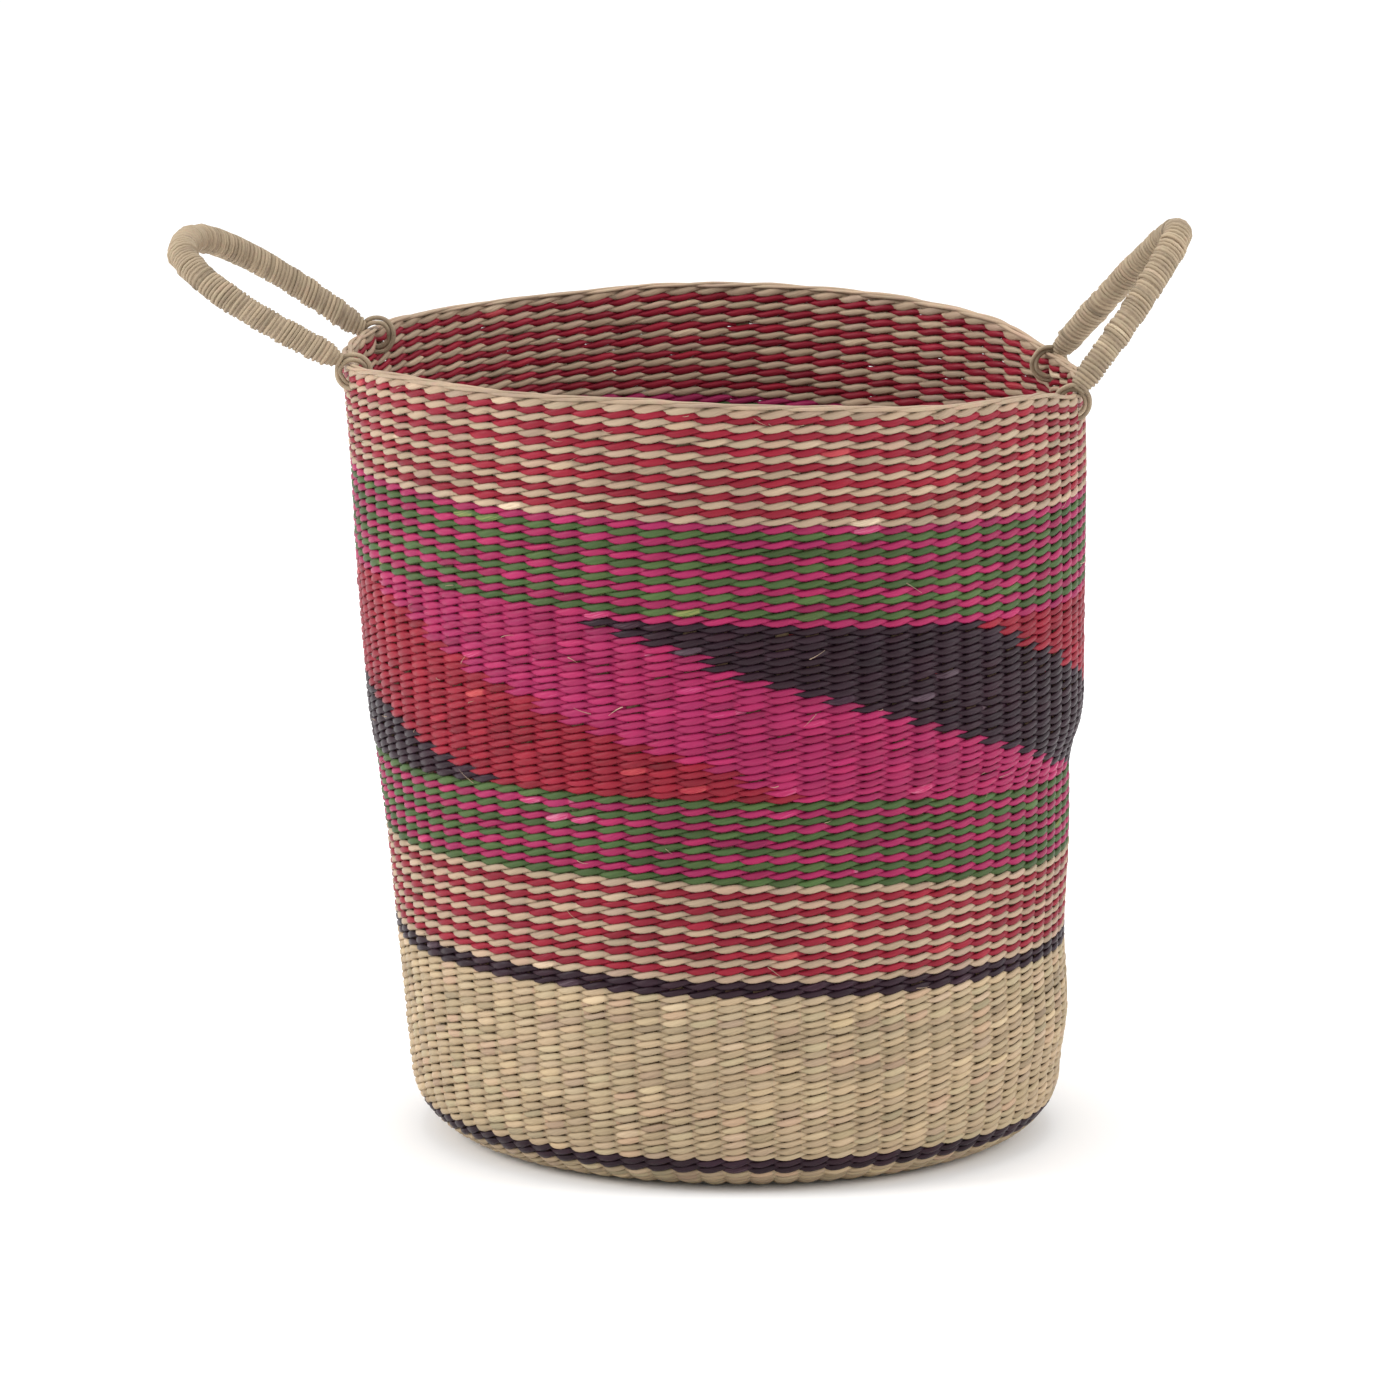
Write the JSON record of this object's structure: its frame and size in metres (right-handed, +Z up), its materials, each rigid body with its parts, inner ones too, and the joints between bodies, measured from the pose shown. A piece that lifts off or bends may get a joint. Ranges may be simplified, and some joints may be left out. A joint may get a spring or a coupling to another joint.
{
  "type": "storage basket",
  "caption": "Round twined seagrass storage basket with colour-banded soft walls, a turned-down border and a hinged loop handle on each side.",
  "frame": {"origin": "centre of the underside of the base, on the surface that the basket stands on", "axes": "+X towards the right-hand handle, +Z up, the front faces -Y"},
  "size_m": [0.515, 0.379, 0.475],
  "materials": {
    "natural_seagrass": "twined dried seagrass, satin",
    "seagrass_twine": "twined dried seagrass, satin",
    "red_seagrass": "twined dried seagrass, satin",
    "green_seagrass": "twined dried seagrass, satin",
    "pink_seagrass": "twined dried seagrass, satin",
    "aubergine_seagrass": "twined dried seagrass, satin"
  },
  "bodies": {
    "basket": {"base_underside": "natural_seagrass", "base_spokes": "natural_seagrass", "base_start": "natural_seagrass", "base_floor": "natural_seagrass", "foot_turn": "natural_seagrass", "lower_dark_line": "aubergine_seagrass", "natural_band_outer": "natural_seagrass", "natural_band_inner": "natural_seagrass", "upper_dark_line_outer": "aubergine_seagrass", "upper_dark_line_inner": "aubergine_seagrass", "lower_red_stripes_outer": "red_seagrass", "lower_red_stripes_inner": "red_seagrass", "lower_green_stripes_outer": "green_seagrass", "lower_green_stripes_inner": "green_seagrass", "pattern_band_outer": "pink_seagrass", "pattern_band_inner": "pink_seagrass", "upper_green_stripes_outer": "green_seagrass", "upper_green_stripes_inner": "green_seagrass", "upper_red_stripes_outer": "red_seagrass", "upper_red_stripes_inner": "red_seagrass", "wall_stakes": "natural_seagrass", "rim_border": "natural_seagrass"},
    "left_handle": {"left_grip_core": "natural_seagrass", "left_grip_wrap": "seagrass_twine", "left_front_neck": "seagrass_twine", "left_back_neck": "seagrass_twine", "left_front_eye": "seagrass_twine", "left_back_eye": "seagrass_twine"},
    "right_handle": {"right_grip_core": "natural_seagrass", "right_grip_wrap": "seagrass_twine", "right_front_neck": "seagrass_twine", "right_back_neck": "seagrass_twine", "right_front_eye": "seagrass_twine", "right_back_eye": "seagrass_twine"}
  },
  "joints": [
    {"name": "left_handle_hinge", "type": "hinge", "parent": "basket", "child": "left_handle", "pos_m": [-0.18991, 0.0147, 0.3984], "axis": [-0.0821, -0.9966, -0.0096], "range_deg": [-137, 63]},
    {"name": "right_handle_hinge", "type": "hinge", "parent": "basket", "child": "right_handle", "pos_m": [0.16456, 0.01464, 0.38309], "axis": [-0.0826, 0.9964, 0.017], "range_deg": [-115, 85]}
  ]
}
